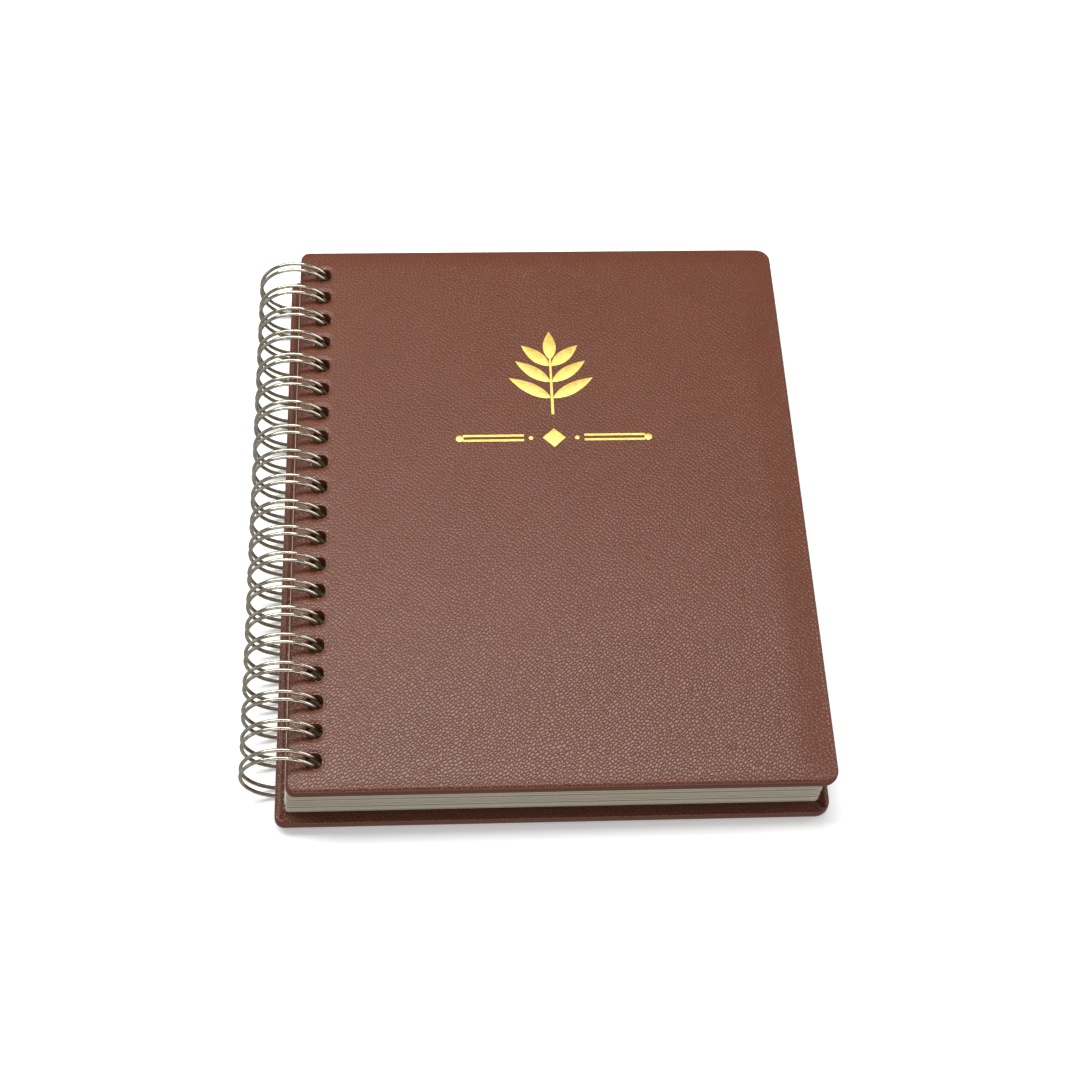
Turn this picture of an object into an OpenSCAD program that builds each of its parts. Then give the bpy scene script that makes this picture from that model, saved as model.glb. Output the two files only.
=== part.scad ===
// Twin-loop wire-bound notebook with padded leatherette hard covers.
// X runs from the binding (-X) to the fore edge (+X), Y from the foot to the head of the page, Z up.
// The origin is the centre of the bounding box, at its base.

/* [Binding] */
// Number of punched holes, and of twin wire loops
hole_count = 20; // [12:1:24]
// Distance from one hole to the next, three to the inch
pitch = 8.4667; // [6.35:0.0001:12.7]
// Distance from the front cover's foot to the middle of the first hole
hole_foot = 8.8; // [7.5:0.1:12]
// Distance from the middle of the last hole to the front cover's head
hole_head = 9.4; // [7.5:0.1:12]
// Diameter of the wire
wire_d = 1.0; // [0.7:0.1:1.2]
// Radius of each loop, measured to the middle of the wire
loop_r = 10.3; // [10.2:0.1:10.5]
// Distance between the two wires of one loop, centre to centre
twin_gap = 2.3; // [1.9:0.1:2.6]
// How far the middle of the loops lies outside the front cover's spine edge
loop_out = 1.5; // [1.4:0.1:1.7]
// How far the middle of the loops lies below the front cover's face
loop_drop = 6.2; // [6.1:0.05:6.2]

/* [Covers] */
// Width of the front cover
front_w = 139.7; // [100:0.1:160]
// How far the back cover reaches past the front one at the spine
back_spine_over = 3.5; // [2:0.1:3.6]
// Width of the back cover
back_w = 142.4; // [100:0.1:165]
// How far the back cover reaches past the front one at the foot
back_foot_over = 2.2; // [0:0.1:3]
// How far the back cover reaches past the front one at the head, less than 0 if it falls short
back_head_over = -0.5; // [-1:0.1:3]
// Thickness of a cover where it has no padding
cover_t = 2.8; // [2.4:0.1:2.8]
// Thickness of the leatherette that wraps a cover
skin_t = 0.6; // [0.4:0.1:0.7]
// Thickness of the foam under the leatherette
foam_t = 0.5; // [0.3:0.1:0.8]
// Width of the leatherette folded over onto the inside of a cover
turn_in = 15; // [8:1:20]
// Thickness of the paper that lines the inside of a cover
liner_t = 0.4; // [0.2:0.1:0.5]
// Corner radius of a cover at the fore edge
fore_r = 4.0; // [2:0.5:6]
// Corner radius of a cover at the spine
spine_r = 2.5; // [2:0.5:4]

/* [Pages] */
// Number of leaves of paper
leaf_count = 100; // [80:20:100]
// Thickness of one leaf
leaf_t = 0.1; // [0.08:0.01:0.1]
// Width of a leaf
leaf_w = 136.4; // [90:0.1:137]
// Distance from a leaf's head and foot to the front cover's
leaf_inset = 1.3; // [0.5:0.1:3]
// Corner radius of a leaf at the fore edge
leaf_r = 1.5; // [1:0.5:6]
// Distance from a leaf's spine edge to the middle of its holes
leaf_margin = 7.2; // [7:0.1:7.8]

/* [Ornament] */
// Height of the gilt sprig
sprig_h = 30; // [20:1:36]
// Length of the gilt rule below the sprig
rule_w = 55; // [30:1:70]
// Height of the gilt rule
rule_h = 6.5; // [4:0.5:9]
// Thickness of the gilt foil
foil_film = 0.08; // [0.05:0.01:0.1]

/* [Hidden] */
$fn = 64;

front_h = hole_foot + (hole_count - 1) * pitch + hole_head;
stack_t = 2 * cover_t + leaf_count * leaf_t;
board_t = cover_t - 2 * skin_t;
block_count = 9; // one for each page_block node
block_t = (leaf_count - 1) * leaf_t / block_count;

// Places in the binding's own frame: x from the front cover's spine edge, y from its foot,
// z from its face down.
loop_x = -loop_out;
loop_z = -loop_drop;
back_x = -back_spine_over;
back_y = -back_foot_over;
back_h = front_h + back_foot_over + back_head_over;
back_z = -stack_t;

// From the binding's frame to the part's own
box_left = loop_x - loop_r - wire_d / 2;
box_right = max(front_w, back_x + back_w);
box_foot = min(0, back_y);
box_head = max(front_h, back_y + back_h);
shift = [-(box_left + box_right) / 2, -(box_foot + box_head) / 2, loop_drop + loop_r + wire_d / 2];

// Covers
hole_w = 4.6;
hole_h = 4.6;
hole_r = 1.8;
hole_gap = 0.35;
pad_start = 13;
pad_edge = 3.5;
skin_gap = 0.05;

// Leaves: their spine edges, from the first leaf to the last
leaf_first_x = 0.1;
leaf_last_x = -0.6;
leaf_hole_w = 5.4;
leaf_hole_h = 4.2;

// Ornament: its place as shares of the front cover's width and height, and the thinnest gilt line
ornament_x = 0.516;
sprig_y = 0.7375;
rule_y = 0.6083;
stem_w = 0.7;
// The sprig, as shares of its height, and its leaves' lean from the stem in degrees
sprig_pairs = 3;
stem_share = 0.66;
leaf_len_share = 0.46;
leaf_len_step = 0.05;
leaf_w_share = 1 / 8;
leaf_lean = 58;
leaf_lean_step = 6;
// The rule, as shares of its height
lozenge_share = 0.7;
inner_bead_share = 1 / 5;
end_bead_share = 1 / 3;
line_gap_share = 1 / 4;
line_short_share = 1.6;

// Wire: the seam between a hairpin's tip and its root, just past the bottom of the loop
link_bend = 1.2;
knuckle_over = 0.06;
seam_gap = 2.7;
seam_middle = -80;
seam_half = seam_gap / 2 / loop_r * 180 / PI;
tip_angle = seam_middle + seam_half;
root_angle = 360 + seam_middle - seam_half;

module place() {
    translate(shift) children();
}

// Distance along X from the loop's middle to the circle of radius r, at height z
function reach(r, z) = sqrt(r * r - (z - loop_z) * (z - loop_z));

// Middles of the holes along Y
function hole_y(i) = hole_foot + i * pitch;

module rounded_sheet(x, y, w, h, spine_corner, fore_corner) {
    translate([x, y]) union() {
        translate([spine_corner, 0]) square([w - spine_corner - fore_corner, h]);
        translate([0, spine_corner]) square([w / 2, h - 2 * spine_corner]);
        translate([w / 2, fore_corner]) square([w / 2, h - 2 * fore_corner]);
        for (s = [0, 1])
            translate([spine_corner, s ? h - spine_corner : spine_corner]) circle(r = spine_corner);
        for (s = [0, 1])
            translate([w - fore_corner, s ? h - fore_corner : fore_corner]) circle(r = fore_corner);
    }
}

module slab(z0, z1) {
    translate([0, 0, z0]) linear_extrude(z1 - z0) children();
}

// A row of holes from x0 to x1 with corner radius r
module hole_row(x0, x1, h, r) {
    for (i = [0:hole_count - 1]) {
        translate([x0, hole_y(i) - h / 2 + r]) square([x1 - x0, h - 2 * r]);
        translate([x0 + r, hole_y(i) - h / 2]) square([x1 - x0 - 2 * r, h]);
        for (x = [x0 + r, x1 - r], y = [-1, 1])
            translate([x, hole_y(i) + y * (h / 2 - r)]) circle(r = r);
    }
}

module square_hole_row(x, w, h) {
    for (i = [0:hole_count - 1])
        translate([x - w / 2, hole_y(i) - h / 2]) square([w, h]);
}

// A cover lies with its face up at z 0 and its inside at -cover_t.
function inner_r(r, inset) = max(r - inset, 0.4);

module front_outline(inset = 0) {
    rounded_sheet(inset, inset, front_w - 2 * inset, front_h - 2 * inset,
                  inner_r(spine_r, inset), inner_r(fore_r, inset));
}

module back_outline(inset = 0) {
    rounded_sheet(back_x + inset, back_y + inset, back_w - 2 * inset, back_h - 2 * inset,
                  inner_r(spine_r, inset), inner_r(fore_r, inset));
}

// The padded panel leaves the punched strip at the spine flat.
module front_panel(inset) {
    rounded_sheet(pad_start + inset, pad_edge + inset, front_w - pad_start - pad_edge - 2 * inset,
                  front_h - 2 * pad_edge - 2 * inset, spine_r, fore_r - 1);
}

module back_panel(inset) {
    rounded_sheet(back_x + pad_start + inset, back_y + pad_edge + inset,
                  back_w - pad_start - pad_edge - 2 * inset, back_h - 2 * pad_edge - 2 * inset,
                  spine_r, fore_r - 1);
}

// Holes reach past the loop over the whole thickness of a cover, and end on a tenth of a millimetre.
front_hole_x1 = ceil(10 * (loop_x + reach(loop_r + wire_d / 2, -cover_t) + hole_gap)) / 10;
front_hole_x0 = front_hole_x1 - hole_w;
back_hole_x0 = floor(10 * (loop_x + reach(loop_r - wire_d / 2, back_z) - hole_gap)) / 10;
back_hole_x1 = ceil(10 * (loop_x + reach(loop_r + wire_d / 2, back_z + cover_t) + hole_gap)) / 10;

module front_wrap() {
    color("#7a4a3a") place() difference() {
        union() {
            slab(-cover_t, 0) front_outline();
            slab(-skin_t, foam_t) front_panel(0);
        }
        slab(-skin_t - board_t, -skin_t) front_outline(skin_t);
        slab(-skin_t - 0.1, foam_t - skin_t) front_panel(skin_t);
        slab(-cover_t - 1, -cover_t + skin_t + 0.1) front_outline(turn_in);
        slab(-cover_t - 1, 1) hole_row(front_hole_x0, front_hole_x1, hole_h, hole_r);
    }
}

module front_padding() {
    color("#d8d2c4") place() slab(-skin_t, foam_t - skin_t - skin_gap) front_panel(skin_t + skin_gap);
}

module front_board() {
    color("#9b948a") place() difference() {
        slab(-skin_t - board_t, -skin_t) front_outline(skin_t);
        slab(-cover_t, 0) hole_row(front_hole_x0, front_hole_x1, hole_h, hole_r);
    }
}

module front_liner() {
    color("#3a2622") place() slab(-skin_t - board_t - liner_t, -skin_t - board_t) front_outline(turn_in);
}

module back_wrap() {
    color("#7a4a3a") place() difference() {
        union() {
            slab(back_z, back_z + cover_t) back_outline();
            slab(back_z - foam_t, back_z + skin_t) back_panel(0);
        }
        slab(back_z + skin_t, back_z + skin_t + board_t) back_outline(skin_t);
        slab(back_z + skin_t - foam_t, back_z + skin_t + 0.1) back_panel(skin_t);
        slab(back_z + cover_t - skin_t - 0.1, back_z + cover_t + 1) back_outline(turn_in);
        slab(back_z - 1, back_z + cover_t + 1) hole_row(back_hole_x0, back_hole_x1, hole_h, hole_r);
    }
}

module back_padding() {
    color("#d8d2c4") place()
        slab(back_z + skin_t - foam_t + skin_gap, back_z + skin_t) back_panel(skin_t + skin_gap);
}

module back_board() {
    color("#9b948a") place() difference() {
        slab(back_z + skin_t, back_z + skin_t + board_t) back_outline(skin_t);
        slab(back_z, back_z + cover_t) hole_row(back_hole_x0, back_hole_x1, hole_h, hole_r);
    }
}

module back_liner() {
    color("#3a2622") place()
        slab(back_z + skin_t + board_t, back_z + skin_t + board_t + liner_t) back_outline(turn_in);
}

// Leaves hang on the loops a little further out towards the bottom of the pile.
module leaves(top, thickness) {
    depth = (-cover_t - top) / (leaf_count * leaf_t);
    x = leaf_first_x + (leaf_last_x - leaf_first_x) * depth;
    place() slab(top - thickness, top) difference() {
        rounded_sheet(x, leaf_inset, leaf_w, front_h - 2 * leaf_inset, leaf_r / 4, leaf_r);
        square_hole_row(x + leaf_margin, leaf_hole_w, leaf_hole_h);
    }
}

module first_leaf() {
    color("#efe8d6") leaves(-cover_t, leaf_t);
}

module page_block(n) {
    color(n % 2 ? "#ece4d0" : "#e6dec8") leaves(-cover_t - leaf_t - (n - 1) * block_t, block_t);
}

// A plain gilt sprig: a straight stem with pairs of pointed leaves and one at the tip
module leaf_shape(length, width) {
    r = (length * length + width * width) / (4 * width);
    translate([length / 2, 0]) intersection() {
        translate([0, r - width / 2]) circle(r = r);
        translate([0, width / 2 - r]) circle(r = r);
    }
}

module foil_sprig() {
    stem = sprig_h * stem_share;
    color("#d9b44a") place() translate([ornament_x * front_w, sprig_y * front_h - sprig_h / 2])
        slab(foam_t, foam_t + foil_film) {
            translate([-stem_w / 2, 0]) square([stem_w, stem]);
            translate([0, stem]) rotate(90) leaf_shape(sprig_h - stem, sprig_h * leaf_w_share);
            for (row = [0:sprig_pairs - 1], s = [-1, 1])
                translate([0, stem * (row + 1) / (sprig_pairs + 0.4)])
                    rotate(90 - s * (leaf_lean - leaf_lean_step * row))
                        leaf_shape(sprig_h * (leaf_len_share - leaf_len_step * row), sprig_h * leaf_w_share);
        }
}

// A double line that narrows to a bead at each end, with a lozenge between two beads at its middle
module foil_rule() {
    end_bead = rule_h * end_bead_share;
    color("#d9b44a") place() translate([ornament_x * front_w, rule_y * front_h])
        slab(foam_t, foam_t + foil_film) {
            rotate(45) square(rule_h * lozenge_share, center = true);
            for (s = [-1, 1]) {
                translate([s * rule_h, 0]) circle(d = rule_h * inner_bead_share);
                translate([s * (rule_w - end_bead) / 2, 0]) circle(d = end_bead);
                for (y = [-1, 1])
                    translate([s * (rule_w / 4 + rule_h / 2), y * rule_h * line_gap_share / 2])
                        square([rule_w / 2 - rule_h * line_short_share, stem_w], center = true);
            }
        }
}

// The wire is one length, bent into closed loops. Each loop is a hairpin: two arcs side by side
// that meet in a rounded tip, which closes against the hairpin's own root. Short links join the
// roots. Tips and links lie under the back cover's punched strip.
module ring_arc(radius, angle) {
    rotate_extrude(angle = angle) translate([radius, 0]) circle(d = wire_d);
}

// At an angle round the loop, with X outward, Y round the loop and Z along the binding
module at_loop(angle) {
    rotate(angle) translate([loop_r, 0, 0]) children();
}

module hairpin() {
    for (s = [-1, 1]) translate([0, 0, s * twin_gap / 2]) {
        rotate(tip_angle) ring_arc(loop_r, root_angle - tip_angle);
        at_loop(tip_angle) knuckle();
    }
    at_loop(tip_angle) rotate(180, [1, 0, 1]) ring_arc(twin_gap / 2, 180);
}

// Joins two lengths of wire that meet end to end
module knuckle() {
    sphere(d = wire_d + knuckle_over);
}

// The link from one root to the next
module link() {
    first = twin_gap / 2 + link_bend;
    last = pitch - first;
    at_loop(root_angle) {
        for (z = [first - link_bend, last + link_bend]) translate([0, 0, z]) knuckle();
        for (z = [first, last]) translate([0, link_bend, z]) knuckle();
        translate([0, link_bend, first]) cylinder(d = wire_d, h = last - first);
        translate([0, 0, first]) rotate([0, 90, 0]) ring_arc(link_bend, 90);
        translate([0, 0, last]) rotate([0, -90, 0]) ring_arc(link_bend, 90);
    }
}

module binding_wire() {
    color("#8c8064") place() translate([loop_x, 0, loop_z]) {
        for (i = [0:hole_count - 1]) translate([0, hole_y(i), 0]) rotate([90, 0, 0]) hairpin();
        for (i = [1:hole_count - 1]) translate([0, hole_y(i), 0]) rotate([90, 0, 0]) link();
    }
}

front_wrap();
front_padding();
front_board();
front_liner();
foil_sprig();
foil_rule();
first_leaf();
page_block(1);  // page_block_1
page_block(2);  // page_block_2
page_block(3);  // page_block_3
page_block(4);  // page_block_4
page_block(5);  // page_block_5
page_block(6);  // page_block_6
page_block(7);  // page_block_7
page_block(8);  // page_block_8
page_block(9);  // page_block_9
back_liner();
back_board();
back_padding();
back_wrap();
binding_wire();
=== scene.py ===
import math
import random

import bpy
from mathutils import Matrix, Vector
from mathutils.geometry import tessellate_polygon


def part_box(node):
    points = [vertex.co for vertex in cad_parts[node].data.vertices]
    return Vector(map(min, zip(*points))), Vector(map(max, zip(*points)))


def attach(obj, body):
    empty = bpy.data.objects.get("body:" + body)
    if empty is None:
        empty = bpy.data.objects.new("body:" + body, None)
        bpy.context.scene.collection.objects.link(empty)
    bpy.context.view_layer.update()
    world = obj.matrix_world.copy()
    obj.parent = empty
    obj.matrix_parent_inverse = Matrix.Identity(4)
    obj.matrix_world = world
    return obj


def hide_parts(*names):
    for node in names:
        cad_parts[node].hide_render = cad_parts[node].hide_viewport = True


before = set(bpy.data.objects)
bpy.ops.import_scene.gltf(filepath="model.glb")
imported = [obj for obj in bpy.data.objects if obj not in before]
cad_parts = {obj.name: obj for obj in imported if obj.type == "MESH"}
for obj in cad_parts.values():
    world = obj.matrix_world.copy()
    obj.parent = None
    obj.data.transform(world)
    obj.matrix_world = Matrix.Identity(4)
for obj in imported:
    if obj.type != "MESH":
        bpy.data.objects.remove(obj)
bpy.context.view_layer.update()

MM = 0.001


def mm_box(node):
    """A CAD node's lowest and highest corners, in millimetres."""
    low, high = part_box(node)
    return low / MM, high / MM


# ---------------------------------------------------------------- sizes, in millimetres

LOOPS = 20
PITCH = 8.4667  # three loops to the inch
HOLE_FOOT = 8.8  # from the front cover's foot edge to the middle of the first hole
HOLE_W = 4.6  # the front cover's. The back cover's is worked out from the loops' slant.
HOLE_H = 4.6
HOLE_R = 1.8
HOLE_GAP = 0.35  # room between the wire and the edge of a hole
WALL = 0.06  # the leatherette's lining of the holes, which covers the board's edge

FOAM = 0.5  # thickness of a cover's padding
TURN_IN = 15.0  # width of the leatherette that is folded over onto the inside
FORE_R = 4.0  # a cover's corners at the fore edge
SPINE_R = 2.5  # and at the spine
SPINE_OVER = 3.5  # the back cover reaches this far past the front one at the spine

WIRE_D = 1.0
LOOP_R = 10.3
TWIN_GAP = 2.3  # between the two wires of a loop
LINK_BEND = 1.2  # radius of the bends between one loop and the next
SEAM_GAP = 2.7  # between a loop's tip and the root that it closes on
SEAM_MIDDLE = -80.0  # the seam's place on the circle, in degrees from +X
WIRE_LOW = mm_box("binding_wire")[0]
AXIS_X = WIRE_LOW.x + LOOP_R + WIRE_D / 2
AXIS_Z = WIRE_LOW.z + LOOP_R + WIRE_D / 2

FRONT_LOW, FRONT_HIGH = mm_box("front_wrap")
BACK_LOW, BACK_HIGH = mm_box("back_wrap")
FACE_Z = FRONT_HIGH.z - FOAM
HOLE_YS = [FRONT_LOW.y + HOLE_FOOT + i * PITCH for i in range(LOOPS)]


# ---------------------------------------------------------------- mesh helpers

def new_piece(name, points, faces, material, body, nodes=(), smooth=60):
    """A mesh piece from points in millimetres. It rides on body, and stands for nodes."""
    mesh = bpy.data.meshes.new(name)
    mesh.from_pydata([tuple(p * MM for p in q) for q in points], [], faces)
    mesh.validate()
    mesh.polygons.foreach_set("use_smooth", [True] * len(mesh.polygons))
    mesh.set_sharp_from_angle(angle=math.radians(smooth))
    mesh.materials.append(material)
    piece = bpy.data.objects.new(name, mesh)
    bpy.context.scene.collection.objects.link(piece)
    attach(piece, body)
    if nodes:
        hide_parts(*nodes)
    return piece


def smoothstep(low, high, x):
    t = min(1.0, max(0.0, (x - low) / (high - low)))
    return t * t * (3 - 2 * t)


# ---------------------------------------------------------------- materials

GRAIN_TURN = 47  # degrees from +X to the leatherette's rows of pebbles


def material(name):
    made = bpy.data.materials.new(name)
    made.use_nodes = True
    nodes = made.node_tree.nodes
    return made, nodes, made.node_tree.links, nodes["Principled BSDF"]


def node(nodes, kind, inputs=None, **settings):
    made = nodes.new(kind)
    for key, value in settings.items():
        setattr(made, key, value)
    for key, value in (inputs or {}).items():
        made.inputs[key].default_value = value
    return made


def ramp(nodes, stops):
    made = nodes.new("ShaderNodeValToRGB")
    while len(made.color_ramp.elements) < len(stops):
        made.color_ramp.elements.new(0.5)
    for element, (place, colour) in zip(made.color_ramp.elements, stops):
        element.position = place
        element.color = (*colour, 1)
    return made


def grid_coordinates(nodes, links, size, turn=0):
    """Object coordinates in cells of the given size in millimetres, along axes turned round Z."""
    place = node(nodes, "ShaderNodeTexCoord")
    mapping = node(nodes, "ShaderNodeMapping", vector_type="TEXTURE")
    mapping.inputs["Rotation"].default_value = (0, 0, math.radians(turn))
    mapping.inputs["Scale"].default_value = [d * MM for d in size]
    links.new(place.outputs["Object"], mapping.inputs["Vector"])
    return mapping.outputs["Vector"]


def maths(nodes, links, operation, a, b):
    """A Math node fed by sockets or plain numbers."""
    made = node(nodes, "ShaderNodeMath", operation=operation)
    for i, value in enumerate((a, b)):
        if isinstance(value, (int, float)):
            made.inputs[i].default_value = value
        else:
            links.new(value, made.inputs[i])
    return made.outputs[0]


def tint(nodes, links, shader, source, stops):
    """Colours the surface by a ramp along source."""
    tone = ramp(nodes, stops)
    links.new(source, tone.inputs["Fac"])
    links.new(tone.outputs["Color"], shader.inputs["Base Color"])


def emboss(nodes, links, shader, height, strength, depth):
    """Bump from a height map, with its depth in millimetres."""
    bump = node(nodes, "ShaderNodeBump", {"Strength": strength, "Distance": depth * MM})
    links.new(height, bump.inputs["Height"])
    links.new(bump.outputs["Normal"], shader.inputs["Normal"])


def grain_cells(nodes, links):
    """Coordinates in cells of one pebble each, and the same bent so that the rows of pebbles drift."""
    flat = grid_coordinates(nodes, links, (1.16, 0.80, 1.0), GRAIN_TURN)
    drift = node(nodes, "ShaderNodeTexNoise", {"Scale": 0.07, "Detail": 1.0})
    links.new(flat, drift.inputs["Vector"])
    bent = node(nodes, "ShaderNodeMixRGB", {"Fac": 1.0}, blend_type="LINEAR_LIGHT")
    links.new(flat, bent.inputs["Color1"])
    links.new(drift.outputs["Color"], bent.inputs["Color2"])
    return flat, bent.outputs["Color"]


def levelness(nodes, links):
    """1 on the faces of a cover, and 0 on its thin edges."""
    place = node(nodes, "ShaderNodeTexCoord")
    facing = node(nodes, "ShaderNodeSeparateXYZ")
    links.new(place.outputs["Normal"], facing.inputs["Vector"])
    level = node(nodes, "ShaderNodeMapRange", {"From Min": 0.25, "From Max": 0.80})
    links.new(maths(nodes, links, "ABSOLUTE", facing.outputs["Z"], 0.0), level.inputs["Value"])
    return level.outputs["Result"]


def leatherette():
    """Reddish-brown leatherette, with slanting rows of pebble grain about a millimetre across, and
    painted shade darkening the creases between the pebbles.
    """
    made, nodes, links, shader = material("leatherette")
    flat, bent = grain_cells(nodes, links)
    level = levelness(nodes, links)
    cell = {"Scale": 1.0, "Randomness": 0.78}
    pebbles = node(nodes, "ShaderNodeTexVoronoi", cell,
                   voronoi_dimensions="2D", feature="DISTANCE_TO_EDGE")
    tops = node(nodes, "ShaderNodeTexVoronoi", cell, voronoi_dimensions="2D", feature="F1")
    pores = node(nodes, "ShaderNodeTexNoise", {"Scale": 4.0, "Detail": 3.0})
    for texture in (pebbles, tops, pores):
        links.new(bent, texture.inputs["Vector"])
    cloud = node(nodes, "ShaderNodeTexNoise", {"Scale": 0.05, "Detail": 2.0})
    links.new(flat, cloud.inputs["Vector"])

    dome = node(nodes, "ShaderNodeMapRange", {"From Min": 0.0, "From Max": 0.27},
                interpolation_type="SMOOTHSTEP")
    links.new(pebbles.outputs["Distance"], dome.inputs["Value"])
    crown = maths(nodes, links, "MULTIPLY", tops.outputs["Distance"], -0.55)
    relief = maths(nodes, links, "ADD", dome.outputs["Result"], crown)
    fine = maths(nodes, links, "MULTIPLY", pores.outputs["Fac"], 0.25)
    relief = maths(nodes, links, "ADD", relief, fine)
    emboss(nodes, links, shader, maths(nodes, links, "MULTIPLY", relief, level), 0.62, 0.085)

    # tone and gloss follow the pebbles on the faces, and keep one middle value on the thin edges. The
    # tone falls to a dark brown in the creases between pebbles: painted shade.
    edge_tone = 0.6
    height = maths(nodes, links, "SUBTRACT", dome.outputs["Result"], edge_tone)
    height = maths(nodes, links, "MULTIPLY", height, level)
    height = maths(nodes, links, "ADD", height, edge_tone)
    tone = ramp(nodes, [(0.0, (0.068, 0.017, 0.007)), (0.45, (0.138, 0.036, 0.013)),
                        (1.0, (0.158, 0.042, 0.016))])
    links.new(height, tone.inputs["Fac"])
    patches = ramp(nodes, [(0.3, (0.96, 0.96, 0.96)), (0.7, (1.03, 1.03, 1.03))])
    links.new(cloud.outputs["Fac"], patches.inputs["Fac"])
    colour = node(nodes, "ShaderNodeMixRGB", {"Fac": 1.0}, blend_type="MULTIPLY")
    links.new(tone.outputs["Color"], colour.inputs["Color1"])
    links.new(patches.outputs["Color"], colour.inputs["Color2"])
    links.new(colour.outputs["Color"], shader.inputs["Base Color"])
    dull = node(nodes, "ShaderNodeMapRange", {"To Min": 0.46, "To Max": 0.29})
    links.new(height, dull.inputs["Value"])
    links.new(dull.outputs["Result"], shader.inputs["Roughness"])
    shader.inputs["Specular IOR Level"].default_value = 0.46
    return made


def endpaper():
    """Dark brown textured paper that lines the inside of a cover."""
    made, nodes, links, shader = material("endpaper")
    flat = grid_coordinates(nodes, links, (1.0, 1.0, 1.0))
    fibres = node(nodes, "ShaderNodeTexNoise", {"Scale": 2.2, "Detail": 6.0, "Roughness": 0.7})
    links.new(flat, fibres.inputs["Vector"])
    dark, light = (0.020, 0.009, 0.007), (0.042, 0.020, 0.015)
    tint(nodes, links, shader, fibres.outputs["Fac"], [(0.3, dark), (0.7, light)])
    emboss(nodes, links, shader, fibres.outputs["Fac"], 0.4, 0.05)
    shader.inputs["Roughness"].default_value = 0.8
    return made


def fibrous(name, dark, light, size):
    """A plain matte board or foam, mottled at the scale of its fibres or cells."""
    made, nodes, links, shader = material(name)
    flat = grid_coordinates(nodes, links, size)
    mottle = node(nodes, "ShaderNodeTexNoise", {"Scale": 1.0, "Detail": 5.0})
    links.new(flat, mottle.inputs["Vector"])
    tint(nodes, links, shader, mottle.outputs["Fac"], [(0.3, dark), (0.7, light)])
    emboss(nodes, links, shader, mottle.outputs["Fac"], 0.5, 0.1)
    shader.inputs["Roughness"].default_value = 0.9
    return made


def page_paper():
    """Cream uncoated paper with faint ruled lines on its faces. The faces are a darker cream than the
    leaves' cut edges of the same paper: painted shade on the faces and painted light on the edges. The
    edges of the leaves vary in tone.
    """
    made, nodes, links, shader = material("page_paper")
    sheets = node(nodes, "ShaderNodeTexNoise", {"Scale": 1.0, "Detail": 4.0, "Roughness": 0.75})
    links.new(grid_coordinates(nodes, links, (35.0, 35.0, 0.15)), sheets.inputs["Vector"])
    # the cut edges are a brighter cream than the faces below: painted light on the edges
    edge = ramp(nodes, [(0.30, (0.62, 0.555, 0.43)), (0.5, (0.84, 0.765, 0.615)),
                        (0.68, (0.90, 0.835, 0.70))])
    links.new(sheets.outputs["Fac"], edge.inputs["Fac"])

    flat = grid_coordinates(nodes, links, (1.0, 1.0, 1.0))
    fibres = node(nodes, "ShaderNodeTexNoise", {"Scale": 1.6, "Detail": 6.0})
    links.new(flat, fibres.inputs["Vector"])
    # the faces are a darker cream than the cut edges above: painted shade on the faces
    face = ramp(nodes, [(0.3, (0.62, 0.58, 0.485)), (0.7, (0.67, 0.63, 0.53))])
    links.new(fibres.outputs["Fac"], face.inputs["Fac"])

    axes = node(nodes, "ShaderNodeSeparateXYZ")
    links.new(flat, axes.inputs["Vector"])
    rule_step, rule_width = 7.1, 0.22
    head_margin, foot_margin = 20.0, 11.0
    from_head = maths(nodes, links, "SUBTRACT", FRONT_HIGH.y - head_margin, axes.outputs["Y"])
    from_rule = maths(nodes, links, "PINGPONG", from_head, rule_step / 2)
    rule = maths(nodes, links, "LESS_THAN", from_rule, rule_width / 2)
    for operation, value, limit in (("GREATER_THAN", from_head, -rule_width),
                                    ("GREATER_THAN", axes.outputs["Y"], FRONT_LOW.y + foot_margin)):
        rule = maths(nodes, links, "MULTIPLY", rule, maths(nodes, links, operation, value, limit))
    ink = node(nodes, "ShaderNodeMixRGB", {"Color2": (0.26, 0.31, 0.38, 1)})
    links.new(maths(nodes, links, "MULTIPLY", rule, 0.55), ink.inputs["Fac"])
    links.new(face.outputs["Color"], ink.inputs["Color1"])
    is_face = node(nodes, "ShaderNodeAttribute", attribute_name="page_face")
    colour = node(nodes, "ShaderNodeMixRGB")
    links.new(is_face.outputs["Fac"], colour.inputs["Fac"])
    links.new(edge.outputs["Color"], colour.inputs["Color1"])
    links.new(ink.outputs["Color"], colour.inputs["Color2"])
    links.new(colour.outputs["Color"], shader.inputs["Base Color"])
    emboss(nodes, links, shader, fibres.outputs["Fac"], 0.25, 0.03)
    shader.inputs["Roughness"].default_value = 0.85
    return made


def gilt():
    """Gold foil pressed into the grain: bright, with a trace of the pebbles in it."""
    made, nodes, links, shader = material("gilt")
    grain = node(nodes, "ShaderNodeTexVoronoi", {"Scale": 1.0},
                 voronoi_dimensions="2D", feature="SMOOTH_F1")
    links.new(grid_coordinates(nodes, links, (0.8, 0.6, 1.0), GRAIN_TURN), grain.inputs["Vector"])
    cloud = node(nodes, "ShaderNodeTexNoise", {"Scale": 0.7, "Detail": 3.0})
    links.new(grid_coordinates(nodes, links, (1.0, 1.0, 1.0)), cloud.inputs["Vector"])
    dark, light = (0.86, 0.60, 0.13), (0.97, 0.76, 0.22)
    tint(nodes, links, shader, cloud.outputs["Fac"], [(0.35, dark), (0.65, light)])
    emboss(nodes, links, shader, grain.outputs["Distance"], 0.3, 0.05)
    shader.inputs["Metallic"].default_value = 0.72
    shader.inputs["Roughness"].default_value = 0.40
    return made


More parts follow.
